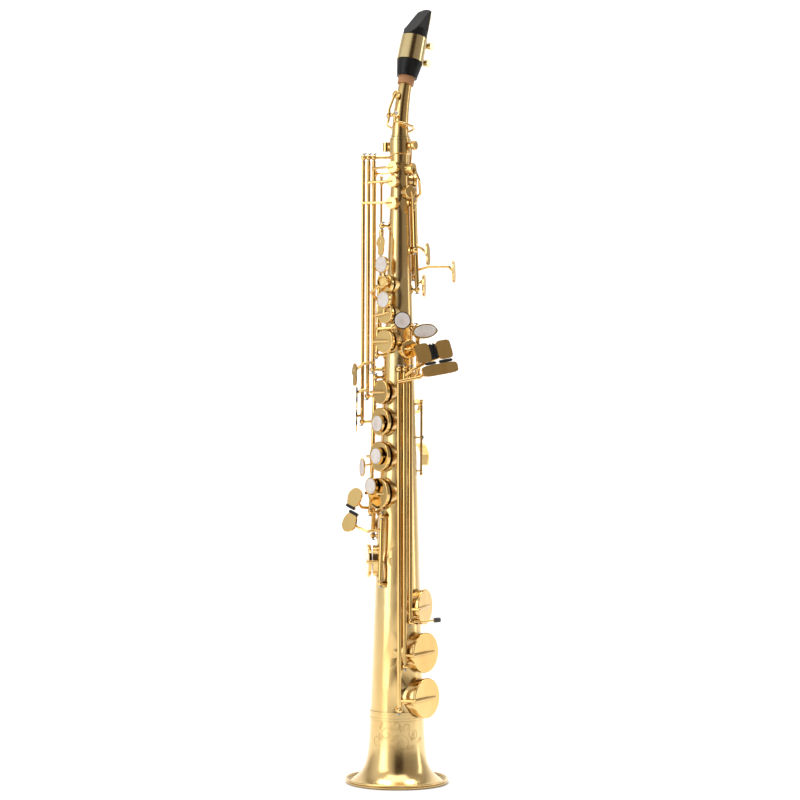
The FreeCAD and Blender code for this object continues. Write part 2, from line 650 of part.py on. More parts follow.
cork_start, cork_aim = neck_at(size("neck_length") - size("cork_length"))
cork = Part.makeCylinder(size("cork_radius"), size("cork_length") - 0.6, cork_start, cork_aim)
keep("neck_cork", cork.cut(neck_loft(0, 0, size("neck_length"))), "body")

# the octave key of the neck: pad over the pip, hinge, and a loop round the neck to the pin behind
pip_top = pip_centre + FRONT * (neck_outer(PIP_AT) + 2.2)
neck_cup = disc(pip_top + FRONT * 0.6, FRONT, 3.7, 1.9, 0.7).cut(
    Part.makeCylinder(3.06, 0.92, pip_top + FRONT * 0.59, FRONT))
loop_centre, loop_aim = neck_at(4.0)
loop_points = []
LOOP_REACH = 12.6
for turn in (20, 60, 100, 140, 180):
    drop = neck_at(NECK_PIVOT - 3 - 9.0 * (turn / 180.0) ** 0.7)[0]
    a = math.radians(turn)
    loop_points.append((drop, a))
left_side = [c + outward(size("neck_turn") + 180 - math.degrees(a)) * LOOP_REACH for c, a in loop_points]
right_side = [c + outward(size("neck_turn") + 180 + math.degrees(a)) * LOOP_REACH for c, a in loop_points]
hub = [pivot_at - pivot_side * 3.7, pivot_at + pivot_side * 3.7]
neck_key = [cylinder(hub[0] - pivot_side * 1.4, hub[0] + pivot_side * 1.4, 2.0), neck_cup,
            cylinder(hub[1] - pivot_side * 1.4, hub[1] + pivot_side * 1.4, 2.0),
            limb([hub[0], hub[0] + pivot_aim * 5 + pivot_front * 0.6, pip_top + FRONT * 2.5], [1.4, 1.2, 1.2]),
            limb([hub[0], *left_side], [1.2, 1.1, 1.1, 1.1, 1.1, 1.1]),
            limb([hub[1], *right_side], [1.2, 1.1, 1.1, 1.1, 1.1, 1.1])]
key("neck_octave_key", neck_rod, neck_key, travel=4.0)
STEEL.append(
    cylinder(neck_rod.start, neck_rod.end, size("rod_radius")))

# ------------------------------------------------------------------ octave lever on the body

oct_rod = lengthwise("octave", size("neck_turn") + 22, 482, 548, 5.0)
mount_rod(oct_rod)
thumb_at = outward(size("neck_turn") + 48) * (body_radius(476) + 12) + V(0, 0, 474)
PIN_REACH = 9.9
pin_low = NECK_DIR * 13.4 + V(0, 0, 556)
key("octave_lever", oct_rod,
    [oct_rod.tube(485, 545), slab(thumb_at, outward(size("neck_turn") + 48), V(0, 0, 1), plate, 1.8),
     limb([oct_rod.at(489), thumb_at + V(0, 0, 5)], [1.4, 1.3]),
     limb([oct_rod.at(539.5), NECK_DIR * 13.8 + V(0, 0, 543.5), pin_low, NECK_DIR * 14.6 + V(0, 0, 566), NECK_DIR * 14.6 + V(0, 0, 577),
           NECK_DIR * PIN_REACH + V(0, 0, 583), NECK_DIR * PIN_REACH + V(0, 0, 590)],
          [1.4, 1.3, 1.3, 1.2, 1.2, 1.1, 1.1])], travel=8)

# ------------------------------------------------------------------ mouthpiece, reed and ligature

PUSHED_ON = 14.0
mouth_at, mouth_aim = neck_at(size("neck_length") - PUSHED_ON)
reed_side = (NECK_DIR - mouth_aim * NECK_DIR.dot(mouth_aim)).normalize()
mouth_across = mouth_aim.cross(reed_side)


def in_mouthpiece(x, y, z):
    """A point of the mouthpiece: x towards the reed, z along it."""
    return mouth_at + reed_side * x + mouth_across * y + mouth_aim * z


def on_mouthpiece(z, radius):
    return Part.Wire([Part.makeCircle(radius, in_mouthpiece(0, 0, z), mouth_aim)])


def wedge(corners, half_width):
    """A prism across the mouthpiece whose (x, z) outline is given."""
    points = [in_mouthpiece(x, -half_width, z) for x, z in corners]
    face = Part.Face(Part.makePolygon([*points, points[0]]))
    return face.extrude(mouth_across * (2 * half_width))


LONG = size("mouthpiece_length")
BARREL = size("barrel_radius")
TABLE_X = 8.6
barrel = fused([Part.makeLoft([on_mouthpiece(0, size("shank_radius")), on_mouthpiece(14, BARREL)], True, True),
                Part.makeLoft([on_mouthpiece(14, BARREL), on_mouthpiece(36, BARREL - 0.6),
                               on_mouthpiece(LONG, BARREL - 1.2)], True, True)])
beak_cut = wedge([(-20, 38), (-BARREL, 38), (6.6, LONG - 0.4), (6.6, LONG + 9), (-20, LONG + 9)], 20)
reed_cut = wedge([(TABLE_X, 11), (TABLE_X, 36), (TABLE_X - 0.9, LONG + 3), (30, LONG + 3), (30, 11)], 20)
tip_round = cylinder(in_mouthpiece(-20, 0, LONG - 14), in_mouthpiece(20, 0, LONG - 14), 14.0)
tip_block = wedge([(-20, LONG - 14), (20, LONG - 14), (20, LONG + 4), (-20, LONG + 4)], 20)
side_cut = wedge([(-20, 46), (20, 46), (20, LONG + 4), (-20, LONG + 4)], 20).cut(
    wedge([(-21, 45), (21, 45), (21, LONG + 5), (-21, LONG + 5)], 7.6))
mouth_bore = cylinder(in_mouthpiece(0, 0, -1), in_mouthpiece(0, 0, 20), size("cork_radius") + 0.05)
throat = cylinder(in_mouthpiece(0, 0, 19), in_mouthpiece(0, 0, 40), 5.4)
window = wedge([(-2.0, 36), (4.0, 36), (TABLE_X + 3, 34), (TABLE_X + 3, LONG - 3.5), (6.9, LONG - 3.5)], 4.9)
mouthpiece = barrel.cut(beak_cut).cut(reed_cut).cut(tip_block.cut(tip_round)).cut(side_cut)
mouthpiece = mouthpiece.cut(mouth_bore).cut(throat).cut(window)
keep("mouthpiece", sorted(mouthpiece.Solids, key=lambda s: s.Volume)[-1])

GAP = 0.02
reed_block = wedge([(TABLE_X + GAP, 13), (TABLE_X + 2.7, 13), (TABLE_X + 2.6, 38), (TABLE_X + 0.35, LONG - 0.3),
                    (TABLE_X + GAP, LONG - 0.3)], size("reed_width") / 2)
reed_trim = cylinder(in_mouthpiece(0, 0, 0), in_mouthpiece(0, 0, LONG + 5), BARREL - 0.15)
tip_edge = wedge([(0, LONG - 14), (20, LONG - 14), (20, LONG + 4), (0, LONG + 4)], 20)
reed = reed_block.common(reed_trim).cut(tip_edge.cut(tip_round))

BAND_LOW, BAND_HIGH = 15.0, 38.0


def band(extra):
    low = Part.Wire([Part.makeCircle(BARREL + 0.08 + extra, in_mouthpiece(0, 0, BAND_LOW), mouth_aim)])
    high = Part.Wire([Part.makeCircle(BARREL - 0.3 + extra, in_mouthpiece(0, 0, BAND_HIGH), mouth_aim)])
    return Part.makeLoft([low, high], True, True)


ligature = band(0.7).cut(band(0.0))
ligature = ligature.cut(wedge([(2, 21.5), (20, 21.5), (20, 31.5), (2, 31.5)], 6.6))
screw_line = mouth_across if mouth_across.x > 0 else mouth_across * -1
SCREW_Z = (18.2, 34.8)
for z in SCREW_Z:
    start = in_mouthpiece(BARREL + 2.4, 0, z) - screw_line * 5.0
    ligature = ligature.fuse(cylinder(start, start + screw_line * 10, 2.1))
rod_holes = [cylinder(in_mouthpiece(BARREL + 2.4, 0, z) - screw_line * 20,
                      in_mouthpiece(BARREL + 2.4, 0, z) + screw_line * 20, 1.12) for z in SCREW_Z]
for hole in rod_holes:
    ligature = ligature.cut(hole)
ligature = ligature.cut(band(0.0))
keep("reed", sorted(reed.cut(ligature).Solids, key=lambda s: s.Volume)[-1])
keep("ligature", sorted(ligature.removeSplitter().Solids, key=lambda s: s.Volume)[-1])

screws = []
for z in SCREW_Z:
    middle = in_mouthpiece(BARREL + 2.4, 0, z)
    shank = cylinder(middle - screw_line * 6.5, middle + screw_line * 8.0, 1.1)
    head = disc(middle + screw_line * 7.0, screw_line, 3.6, 3.4, 0.8)
    screws.append(shank.fuse(head).removeSplitter())
keep("ligature_screws", Part.makeCompound(screws))

# ------------------------------------------------------------------ body, bell and rim

BOTTOM, TOP = size("body_bottom"), size("body_top")


def conical(shrink, low, high):
    return Part.makeCone(body_radius(low) - shrink, body_radius(high) - shrink, high - low, V(0, 0, low))


chimneys = []
holes = []
for cup in CUPS:
    centre = V(0, 0, cup.z)
    chimneys.append(cylinder(centre, cup.seat, cup.hole + size("chimney_wall")))
    holes.append(cylinder(centre, cup.seat + cup.n * 3, cup.hole))
ring_heights = (BOTTOM, BOTTOM + 5.4)
rings = [conical(-0.9, z, z + 1.6) for z in ring_heights]
rings.append(conical(-0.5, BOTTOM + 1, BOTTOM + 6))
envelope = conical(0, BOTTOM, TOP).multiFuse([*chimneys, *rings])
inside = conical(size("wall"), BOTTOM - 1, TOP + 1)
body_tube = envelope.cut(inside.multiFuse(holes)).removeSplitter()
keep("body_tube", sorted(body_tube.Solids, key=lambda s: s.Volume)[-1])


def bell_radius(z):
    """The bell's outer radius: the cone with a flare that dies away upwards."""
    flare = size("rim_radius") - body_radius(0)
    return body_radius(z) + flare * math.exp(-z / size("flare_length"))


def bell_slope(z):
    flare = size("rim_radius") - body_radius(0)
    return -size("taper") - flare / size("flare_length") * math.exp(-z / size("flare_length"))


heights = [1.3, 2.6, 4.2, 6.2, 8.6, 11.5, 15.0, 19.5, 25.0, 32.0, 41.0, 50.0, BOTTOM]
outer_line, inner_line = [], []
for z in heights:
    slope = bell_slope(z)
    scale = size("wall") / math.hypot(1.0, slope)
    outer_line.append(V(bell_radius(z), 0, z))
    inner_line.append(V(bell_radius(z) - scale, 0, z + scale * slope))
inner_line[-1] = V(bell_radius(BOTTOM) - size("wall"), 0, BOTTOM)
outer_curve, inner_curve = Part.BSplineCurve(), Part.BSplineCurve()
outer_curve.interpolate(outer_line)
inner_curve.interpolate(inner_line)
section = Part.Wire([outer_curve.toShape(), Part.makeLine(outer_line[-1], inner_line[-1]),
                     inner_curve.toShape(), Part.makeLine(inner_line[0], outer_line[0])])
bell = Part.Face(section).revolve(V(0, 0, 0), V(0, 0, 1), 360)
rim = turned_body("bell_rim", [("rim_radius - rim_width + 0.6", "0"), ("rim_radius - 0.7", "0"),
                               ("rim_radius", "0.7"), ("rim_radius", "rim_height - 0.7"),
                               ("rim_radius - 0.7", "rim_height"), ("rim_radius - rim_width + 0.6", "rim_height"),
                               ("rim_radius - rim_width", "rim_height - 0.6"), ("rim_radius - rim_width", "0.6")])
bell = Part.Solid(bell) if bell.ShapeType == "Shell" else bell
keep("bell", bell.cut(rim.Shape))

# ------------------------------------------------------------------ receiver and small fittings

receiver = turned_body("neck_receiver", [("top_radius + 9*taper", "body_top - 9"), ("receiver_radius - 1.2", "body_top - 9"),
                              ("receiver_radius - 1.2", "body_top - 2"), ("receiver_radius", "body_top - 1"),
                              ("receiver_radius", "body_top + receiver_length"),
                              ("receiver_radius - 1.6", "body_top + receiver_length"),
                              ("receiver_radius - 1.6", "body_top"), ("top_radius", "body_top")])

COLLAR = Part.makeCylinder(size("receiver_radius"), size("receiver_length"), V(0, 0, TOP))

screw_dir = outward(60)
screw_from = screw_dir * size("receiver_radius") + V(0, 0, TOP + 6)
receiver_screw = fused([cylinder(screw_from, screw_from + screw_dir * 2.2, 2.6),
                        cylinder(screw_from, screw_from + screw_dir * 5.2, 1.3),
                        disc(screw_from + screw_dir * 4.4, screw_dir, 4.2, 2.6, 0.7)]).cut(COLLAR)
keep("receiver_screw", receiver_screw)

LYRE_ANGLE = -110
lyre_reach = size("receiver_radius") + 3.4
lyre_centre = outward(LYRE_ANGLE) * lyre_reach
lyre_socket = fused([cylinder(lyre_centre + V(0, 0, TOP + 1.5), lyre_centre + V(0, 0, TOP + 9.5), 3.5),
                     cylinder(outward(LYRE_ANGLE) * 7 + V(0, 0, TOP + 5.5),
                              lyre_centre + V(0, 0, TOP + 5.5), 2.6)])
lyre_socket = lyre_socket.cut(COLLAR).cut(cylinder(lyre_centre + V(0, 0, TOP), lyre_centre + V(0, 0, TOP + 12), 2.2))
keep("lyre_socket", lyre_socket)

BACK = 140
back = outward(BACK)
tangent = back.cross(V(0, 0, 1))


def foot_plate(z, half_wide, half_high, thick=1.2):
    """A curved plate soldered on the body's back, cut to the skin."""
    wall = conical(-thick, z - half_high, z + half_high).cut(conical(0, z - half_high - 1, z + half_high + 1))
    slot = Part.makeBox(2 * half_wide, 40, 2 * half_high)
    slot.Placement = FreeCAD.Placement(V(0, 0, 0), FreeCAD.Rotation(tangent, back, V(0, 0, 1)))
    slot.translate(V(0, 0, z - half_high) - tangent * half_wide)
    return wall.common(slot)


RING_Z, RING_BORE, RING_WIDE = 338.0, 4.2, 2.4
ring_centre = back * (body_radius(RING_Z) + 9.6) + V(0, 0, RING_Z)
eye = cylinder(ring_centre - tangent * (RING_WIDE / 2), ring_centre + tangent * (RING_WIDE / 2), 6.6)
eye_hole = cylinder(ring_centre - tangent * 5, ring_centre + tangent * 5, RING_BORE)
stem = cylinder(back * (body_radius(RING_Z) + 0.3) + V(0, 0, RING_Z), ring_centre - back * 5, 1.9)
strap_ring = fused([foot_plate(RING_Z, 4.5, 9.0), stem, eye]).cut(eye_hole).cut(conical(0, 300, 360))
keep("strap_ring", strap_ring)

HOOK_Z = 300.0
hook_points = [back * (body_radius(HOOK_Z) + 1.0) + V(0, 0, HOOK_Z + 2),
               back * (body_radius(HOOK_Z) + 9.0) + V(0, 0, HOOK_Z + 4),
               back * (body_radius(HOOK_Z) + 17.0) + V(0, 0, HOOK_Z + 2),
               back * (body_radius(HOOK_Z) + 21.5) + V(0, 0, HOOK_Z - 6),
               back * (body_radius(HOOK_Z) + 20.5) + V(0, 0, HOOK_Z - 15)]
strips = []
for first, second in zip(hook_points, hook_points[1:]):
    along = (second - first).normalize()
    strip = Part.makeBox(9.0, 2.0, (second - first).Length)
    strip.Placement = FreeCAD.Placement(V(0, 0, 0), FreeCAD.Rotation(tangent, along.cross(tangent), along))
    strip.translate(first - tangent * 4.5 - along.cross(tangent) * 1.0)
    strips.append(strip)
joints = [cylinder(p - tangent * 4.5, p + tangent * 4.5, 1.0) for p in hook_points[1:]]
thumb_hook = fused([foot_plate(HOOK_Z, 6.0, 12.0), *strips, *joints]).cut(conical(0, 280, 320))
keep("thumb_hook", sorted(thumb_hook.Solids, key=lambda s: s.Volume)[-1])

REST_Z = 436.0
rest_normal = outward(BACK + 22)
rest_base = rest_normal * (body_radius(REST_Z) - 0.5) + V(0, 0, REST_Z)
rest_face = rest_normal * (body_radius(REST_Z) + 3.0) + V(0, 0, REST_Z)
thumb_rest = fused([cylinder(rest_base, rest_face, 4.0),
                    disc(rest_face, rest_normal, 7.2, 2.6, 0.9)]).cut(conical(0, REST_Z - 12, REST_Z + 12))
keep("thumb_rest", thumb_rest)

# ------------------------------------------------------------------ all posts, and all steel pivot rods

standing = POSTS[0].multiFuse(POSTS[1:]).cut(envelope).cut(receiver.Shape)
keep("posts", Part.makeCompound([s for s in standing.Solids if s.Volume > 2.0]))
keep("steel_rods", Part.makeCompound(STEEL))

# ------------------------------------------------------------------ checks and export

DOC.recompute()
for thing in DOC.Objects:
    if "Invalid" in thing.State or "Error" in thing.State:
        raise RuntimeError(f"{thing.Label} did not compute: {thing.State}")
for piece in PARTS:
    if piece.Shape.isNull() or not piece.Shape.isValid() or not piece.Shape.Solids:
        raise RuntimeError(f"{piece.Label} is not a sound solid")
os.makedirs("parts", exist_ok=True)
for piece in PARTS:
    piece.Shape.exportStep(f"parts/{piece.Label}.step")
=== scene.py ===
import bmesh
import bpy
import math
import numpy as np
from mathutils import Matrix, Vector
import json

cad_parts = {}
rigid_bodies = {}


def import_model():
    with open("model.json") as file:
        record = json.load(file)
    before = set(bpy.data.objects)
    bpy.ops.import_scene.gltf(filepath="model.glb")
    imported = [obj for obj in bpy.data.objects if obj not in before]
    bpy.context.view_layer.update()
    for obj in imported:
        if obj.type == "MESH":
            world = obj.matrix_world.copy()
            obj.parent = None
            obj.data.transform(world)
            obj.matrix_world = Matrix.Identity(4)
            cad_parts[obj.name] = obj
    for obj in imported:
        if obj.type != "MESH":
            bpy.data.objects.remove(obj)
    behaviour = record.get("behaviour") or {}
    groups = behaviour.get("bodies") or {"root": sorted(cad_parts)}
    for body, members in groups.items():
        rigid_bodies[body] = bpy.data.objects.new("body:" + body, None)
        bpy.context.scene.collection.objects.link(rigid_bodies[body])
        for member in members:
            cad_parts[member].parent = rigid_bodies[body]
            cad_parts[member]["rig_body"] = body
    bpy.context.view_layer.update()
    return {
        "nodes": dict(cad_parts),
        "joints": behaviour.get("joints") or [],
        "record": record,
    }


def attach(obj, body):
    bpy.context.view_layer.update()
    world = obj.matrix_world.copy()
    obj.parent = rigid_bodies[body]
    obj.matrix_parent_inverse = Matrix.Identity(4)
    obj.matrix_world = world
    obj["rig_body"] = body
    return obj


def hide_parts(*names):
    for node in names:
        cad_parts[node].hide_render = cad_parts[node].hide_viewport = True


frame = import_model()
NODES = frame["nodes"]
JOINTS = {j["name"]: j for j in frame["joints"]}
MM = 0.001


# ---------------------------------------------------------------- materials

def new_material(name):
    m = bpy.data.materials.new(name)
    m.use_nodes = True
    m.node_tree.nodes.clear()
    out = m.node_tree.nodes.new("ShaderNodeOutputMaterial")
    shader = m.node_tree.nodes.new("ShaderNodeBsdfPrincipled")
    m.node_tree.links.new(shader.outputs["BSDF"], out.inputs["Surface"])
    return m, m.node_tree, shader


def node(tree, kind, **values):
    """A new node, with its inputs or its settings given by name."""
    n = tree.nodes.new(kind)
    for key, value in values.items():
        if key in n.inputs:
            n.inputs[key].default_value = value
        else:
            setattr(n, key, value)
    return n


def noise(tree, scale, stretch=(1, 1, 1), detail=4.0, roughness=0.55, kind="ShaderNodeTexNoise"):
    """A noise in object space, in features per metre, stretched along each axis."""
    place = node(tree, "ShaderNodeTexCoord")
    sized = node(tree, "ShaderNodeMapping")
    sized.inputs["Scale"].default_value = stretch
    tree.links.new(place.outputs["Object"], sized.inputs["Vector"])
    n = node(tree, kind)
    n.inputs["Scale"].default_value = scale
    if "Detail" in n.inputs:
        n.inputs["Detail"].default_value = detail
    if "Roughness" in n.inputs:
        n.inputs["Roughness"].default_value = roughness
    tree.links.new(sized.outputs["Vector"], n.inputs["Vector"])
    return n.outputs["Fac"] if "Fac" in n.outputs else n.outputs["Distance"]


def ramp(tree, source, stops):
    """A colour ramp through (position, colour) stops."""
    r = node(tree, "ShaderNodeValToRGB")
    while len(r.color_ramp.elements) < len(stops):
        r.color_ramp.elements.new(0.5)
    for element, (at, colour) in zip(r.color_ramp.elements, stops):
        element.position = at
        element.color = (*colour, 1.0)
    tree.links.new(source, r.inputs["Fac"])
    return r.outputs["Color"]


def span(tree, source, low, high):
    """A 0 to 1 value moved into the range low to high."""
    m = node(tree, "ShaderNodeMapRange")
    m.inputs["To Min"].default_value = low
    m.inputs["To Max"].default_value = high
    tree.links.new(source, m.inputs["Value"])
    return m.outputs["Result"]


def bump(tree, shader, source, strength, distance):
    b = node(tree, "ShaderNodeBump")
    b.inputs["Strength"].default_value = strength
    b.inputs["Distance"].default_value = distance
    tree.links.new(source, b.inputs["Height"])
    tree.links.new(b.outputs["Normal"], shader.inputs["Normal"])


def mixed(tree, factor, first, second):
    """first where factor is 0 and second where it is 1; each is a colour or a socket."""
    m = node(tree, "ShaderNodeMix", data_type="RGBA")
    for socket, value in (("A", first), ("B", second)):
        target = [s for s in m.inputs if s.name == socket and s.type == "RGBA"][0]
        if isinstance(value, tuple):
            target.default_value = (*value, 1.0)
        else:
            tree.links.new(value, target)
    tree.links.new(factor, m.inputs["Factor"])
    return [s for s in m.outputs if s.type == "RGBA"][0]


def crevice_shade_mask(tree, distance=0.0025):
    """1 on open faces and lower in crevices, used to paint shade into the lacquer's colour where parts meet.
    """
    ao = node(tree, "ShaderNodeAmbientOcclusion", samples=6)
    ao.inputs["Distance"].default_value = distance
    return ao.outputs["AO"]


def brass(name, light, deep, rough_low, rough_high, grain, stretch):
    """Lacquered brass: cloudy between two tones, fine streaks, and painted shade darkening it in crevices.
    """
    m, tree, shader = new_material(name)
    shader.inputs["Metallic"].default_value = 1.0
    tint = ramp(tree, noise(tree, 34, (1, 1, 0.35), 5), [(0.30, deep), (0.62, light)])
    # Painted shade: in crevices and where parts meet, the base colour falls to a third of the deep tone.
    tint_with_painted_shade = mixed(tree, crevice_shade_mask(tree), tuple(c * 0.34 for c in deep), tint)
    tree.links.new(tint_with_painted_shade, shader.inputs["Base Color"])
    streaks = noise(tree, 2200, stretch, 3)
    tree.links.new(span(tree, streaks, rough_low, rough_high), shader.inputs["Roughness"])
    bump(tree, shader, streaks, grain, 0.00004)
    shader.inputs["Coat Weight"].default_value = 0.35
    shader.inputs["Coat Roughness"].default_value = 0.08
    return m


BODY_BRASS = brass("satin_lacquer", (0.83, 0.61, 0.28), (0.71, 0.47, 0.17), 0.17, 0.27, 0.22, (1, 1, 0.03))
KEY_BRASS = brass("polished_lacquer", (0.84, 0.58, 0.22), (0.70, 0.43, 0.13), 0.06, 0.14, 0.10, (1, 1, 1))
LIGATURE_BRASS = brass("pale_lacquer", (0.88, 0.73, 0.40), (0.78, 0.60, 0.28), 0.12, 0.22, 0.12, (1, 1, 0.2))


def steel_material():
    m, tree, shader = new_material("pivot_steel")
    shader.inputs["Metallic"].default_value = 1.0
    tree.links.new(ramp(tree, noise(tree, 300), [(0.35, (0.40, 0.36, 0.31)), (0.7, (0.66, 0.63, 0.57))]),
                   shader.inputs["Base Color"])
    turned = noise(tree, 2600, (0.2, 0.2, 1))
    tree.links.new(span(tree, turned, 0.14, 0.30), shader.inputs["Roughness"])
    bump(tree, shader, turned, 0.15, 0.00003)
    return m


def spring_material():
    m, tree, shader = new_material("blued_spring_steel")
    shader.inputs["Metallic"].default_value = 1.0
    tree.links.new(ramp(tree, noise(tree, 180), [(0.35, (0.03, 0.045, 0.12)), (0.7, (0.10, 0.09, 0.16))]),
                   shader.inputs["Base Color"])
    tree.links.new(span(tree, noise(tree, 900), 0.18, 0.34), shader.inputs["Roughness"])
    return m


def ebonite_material():
    m, tree, shader = new_material("black_ebonite")
    tone = noise(tree, 90, (1, 1, 0.4))
    tint = ramp(tree, tone, [(0.3, (0.006, 0.006, 0.007)), (0.75, (0.020, 0.019, 0.018))])
    tree.links.new(tint, shader.inputs["Base Color"])
    fine = noise(tree, 1500, (1, 1, 0.15))
    tree.links.new(span(tree, fine, 0.26, 0.42), shader.inputs["Roughness"])
    bump(tree, shader, fine, 0.10, 0.00003)
    shader.inputs["Specular IOR Level"].default_value = 0.18
    return m


def cork_material():
    m, tree, shader = new_material("neck_cork")
    grain = noise(tree, 900, (1, 1, 1.6), 8, 0.7)
    pits = noise(tree, 520, (1, 1, 2.2), kind="ShaderNodeTexVoronoi")
    tint = ramp(tree, grain, [(0.30, (0.20, 0.085, 0.035)), (0.52, (0.46, 0.22, 0.095)),
                              (0.75, (0.60, 0.33, 0.16))])
    tree.links.new(tint, shader.inputs["Base Color"])
    shader.inputs["Roughness"].default_value = 0.82
    bump(tree, shader, pits, 0.5, 0.0002)
    return m


def cane_material():
    m, tree, shader = new_material("reed_cane")
    fibre = noise(tree, 2400, (1, 1, 0.025), 6, 0.6)
    tint = ramp(tree, fibre, [(0.30, (0.48, 0.31, 0.12)), (0.50, (0.72, 0.54, 0.26)),
                              (0.72, (0.83, 0.68, 0.40))])
    tree.links.new(tint, shader.inputs["Base Color"])
    tree.links.new(span(tree, fibre, 0.42, 0.66), shader.inputs["Roughness"])
    bump(tree, shader, fibre, 0.35, 0.00008)
    shader.inputs["Subsurface Weight"].default_value = 0.08
    shader.inputs["Subsurface Radius"].default_value = (0.002, 0.0012, 0.0006)
    return m


def pearl_material():
    m, tree, shader = new_material("mother_of_pearl")
    swirl = noise(tree, 170, (1, 1.6, 0.7), 6, 0.6)
    sheen = noise(tree, 420, (2.0, 1, 1), 4, 0.5)
    base = ramp(tree, swirl, [(0.28, (0.40, 0.32, 0.29)), (0.42, (0.58, 0.49, 0.45)),
                              (0.58, (0.68, 0.64, 0.60)), (0.76, (0.48, 0.50, 0.49))])
    glow = ramp(tree, sheen, [(0.35, (0.66, 0.50, 0.47)), (0.5, (0.72, 0.69, 0.64)),
                              (0.68, (0.50, 0.60, 0.59))])
    tree.links.new(mixed(tree, span(tree, swirl, 0.2, 0.5), base, glow), shader.inputs["Base Color"])
    tree.links.new(span(tree, sheen, 0.16, 0.30), shader.inputs["Roughness"])
    bump(tree, shader, swirl, 0.12, 0.0002)
    shader.inputs["Coat Weight"].default_value = 0.8
    shader.inputs["Coat Roughness"].default_value = 0.06
    shader.inputs["Subsurface Weight"].default_value = 0.12
    shader.inputs["Subsurface Radius"].default_value = (0.0012, 0.0009, 0.0008)
    return m


def leather_material():
    m, tree, shader = new_material("pad_leather")
    grain = noise(tree, 1900, kind="ShaderNodeTexVoronoi")
    tone = noise(tree, 160, (1, 1, 1), 5)
    tint = ramp(tree, tone, [(0.3, (0.13, 0.06, 0.028)), (0.7, (0.30, 0.155, 0.075))])
    tree.links.new(tint, shader.inputs["Base Color"])
    tree.links.new(span(tree, tone, 0.5, 0.74), shader.inputs["Roughness"])
    bump(tree, shader, grain, 0.45, 0.00012)
    return m


def felt_material():
    m, tree, shader = new_material("felt_bumper")
    fuzz = noise(tree, 2600, (1, 1, 1), 8, 0.8)
    tree.links.new(ramp(tree, fuzz, [(0.3, (0.018, 0.016, 0.016)), (0.7, (0.075, 0.065, 0.06))]),
                   shader.inputs["Base Color"])
    shader.inputs["Roughness"].default_value = 0.95
    shader.inputs["Sheen Weight"].default_value = 0.6
    bump(tree, shader, fuzz, 0.6, 0.0003)
    return m


def cut_material():
    m, tree, shader = new_material("engraved_cut")
    shader.inputs["Metallic"].default_value = 1.0
    cut = noise(tree, 3000, (1, 1, 1), 3)
    tint = ramp(tree, cut, [(0.3, (0.34, 0.20, 0.07)), (0.7, (0.58, 0.38, 0.16))])
    tree.links.new(tint, shader.inputs["Base Color"])
    tree.links.new(span(tree, cut, 0.30, 0.48), shader.inputs["Roughness"])
    return m


STEEL, SPRING, EBONITE, CORK = steel_material(), spring_material(), ebonite_material(), cork_material()
CANE, PEARL, LEATHER = cane_material(), pearl_material(), leather_material()
FELT, CUT = felt_material(), cut_material()
FINISHES = {"lacquer_brass": BODY_BRASS, "key_brass": KEY_BRASS, "ligature_brass": LIGATURE_BRASS,
            "pivot_steel": STEEL, "ebonite": EBONITE, "cork": CORK, "cane": CANE, "pearl": PEARL,
            "pad_leather": LEATHER}
for sub in frame["record"]["subparts"]:
    cad = NODES[sub["node"]]
    finish = FINISHES[sub["material_slot"]]
    if not cad.material_slots:
        cad.data.materials.append(finish)
    for s in cad.material_slots:
        s.link = "OBJECT"
        s.material = finish


# ---------------------------------------------------------------- mesh helpers

def object_from(name, bm):
    """A new object in the scene made from a bmesh, which is freed."""
    bmesh.ops.recalc_face_normals(bm, faces=bm.faces)
    mesh = bpy.data.meshes.new(name)
    bm.to_mesh(mesh)
    bm.free()
    obj = bpy.data.objects.new(name, mesh)
    bpy.context.scene.collection.objects.link(obj)
    return obj


def finish_piece(obj, body, material, smooth=True):
    obj.data.materials.append(material)
    if smooth and obj.type == "MESH":
        obj.data.polygons.foreach_set("use_smooth", [True] * len(obj.data.polygons))
    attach(obj, body)
    return obj


def frame_on(centre, axis, along=None):
    """A turn whose Z is axis and whose X is near along, and the centre as a vector."""
    z = Vector(axis).normalized()
    x = Vector(along) if along is not None else (Vector((0, 0, 1)) if abs(z.z) < 0.9 else Vector((1, 0, 0)))
    x = (x - z * x.dot(z)).normalized()
    y = z.cross(x)
    return Matrix((x, y, z)).transposed().to_4x4(), Vector(centre)


def lathe(name, profile, centre, axis, body, material, segments=48, oval=(1.0, 1.0), along=None):
    """A turned piece: profile is (radius, height) pairs in metres, height along axis from centre."""
    turn, at = frame_on(centre, axis, along)
    bm = bmesh.new()
    rings = []
    for r, h in profile:
        if r < 1e-7:
            rings.append([bm.verts.new(at + turn @ Vector((0, 0, h)))])
            continue
        ring = []
        for i in range(segments):
            a = 2 * math.pi * i / segments
            place = Vector((r * oval[0] * math.cos(a), r * oval[1] * math.sin(a), h))
            ring.append(bm.verts.new(at + turn @ place))
        rings.append(ring)
    for low, high in zip(rings, rings[1:]):
        for i in range(segments):
            j = (i + 1) % segments
            if len(low) == 1 and len(high) == 1:
                continue
            if len(low) == 1:
                bm.faces.new((low[0], high[i], high[j]))
            elif len(high) == 1:
                bm.faces.new((low[j], low[i], high[0]))
            else:
                bm.faces.new((low[i], high[i], high[j], low[j]))
    return finish_piece(object_from(name, bm), body, material)


def wire(name, points, radius, body, material, taper=None):
    """A thin wire along points, which are in metres."""
    curve = bpy.data.curves.new(name, "CURVE")
    curve.dimensions = "3D"
    curve.bevel_depth = radius
    curve.bevel_resolution = 2
    curve.use_fill_caps = True
    spline = curve.splines.new("NURBS")
    spline.points.add(len(points) - 1)
    for p, q in zip(spline.points, points):
        p.co = (*q, 1.0)
    if taper:
        for p, t in zip(spline.points, taper):
            p.radius = t
    spline.order_u = min(4, len(points))
    spline.use_endpoint_u = True
    spline.resolution_u = 6
    obj = bpy.data.objects.new(name, curve)
    bpy.context.scene.collection.objects.link(obj)
    return finish_piece(obj, body, material)


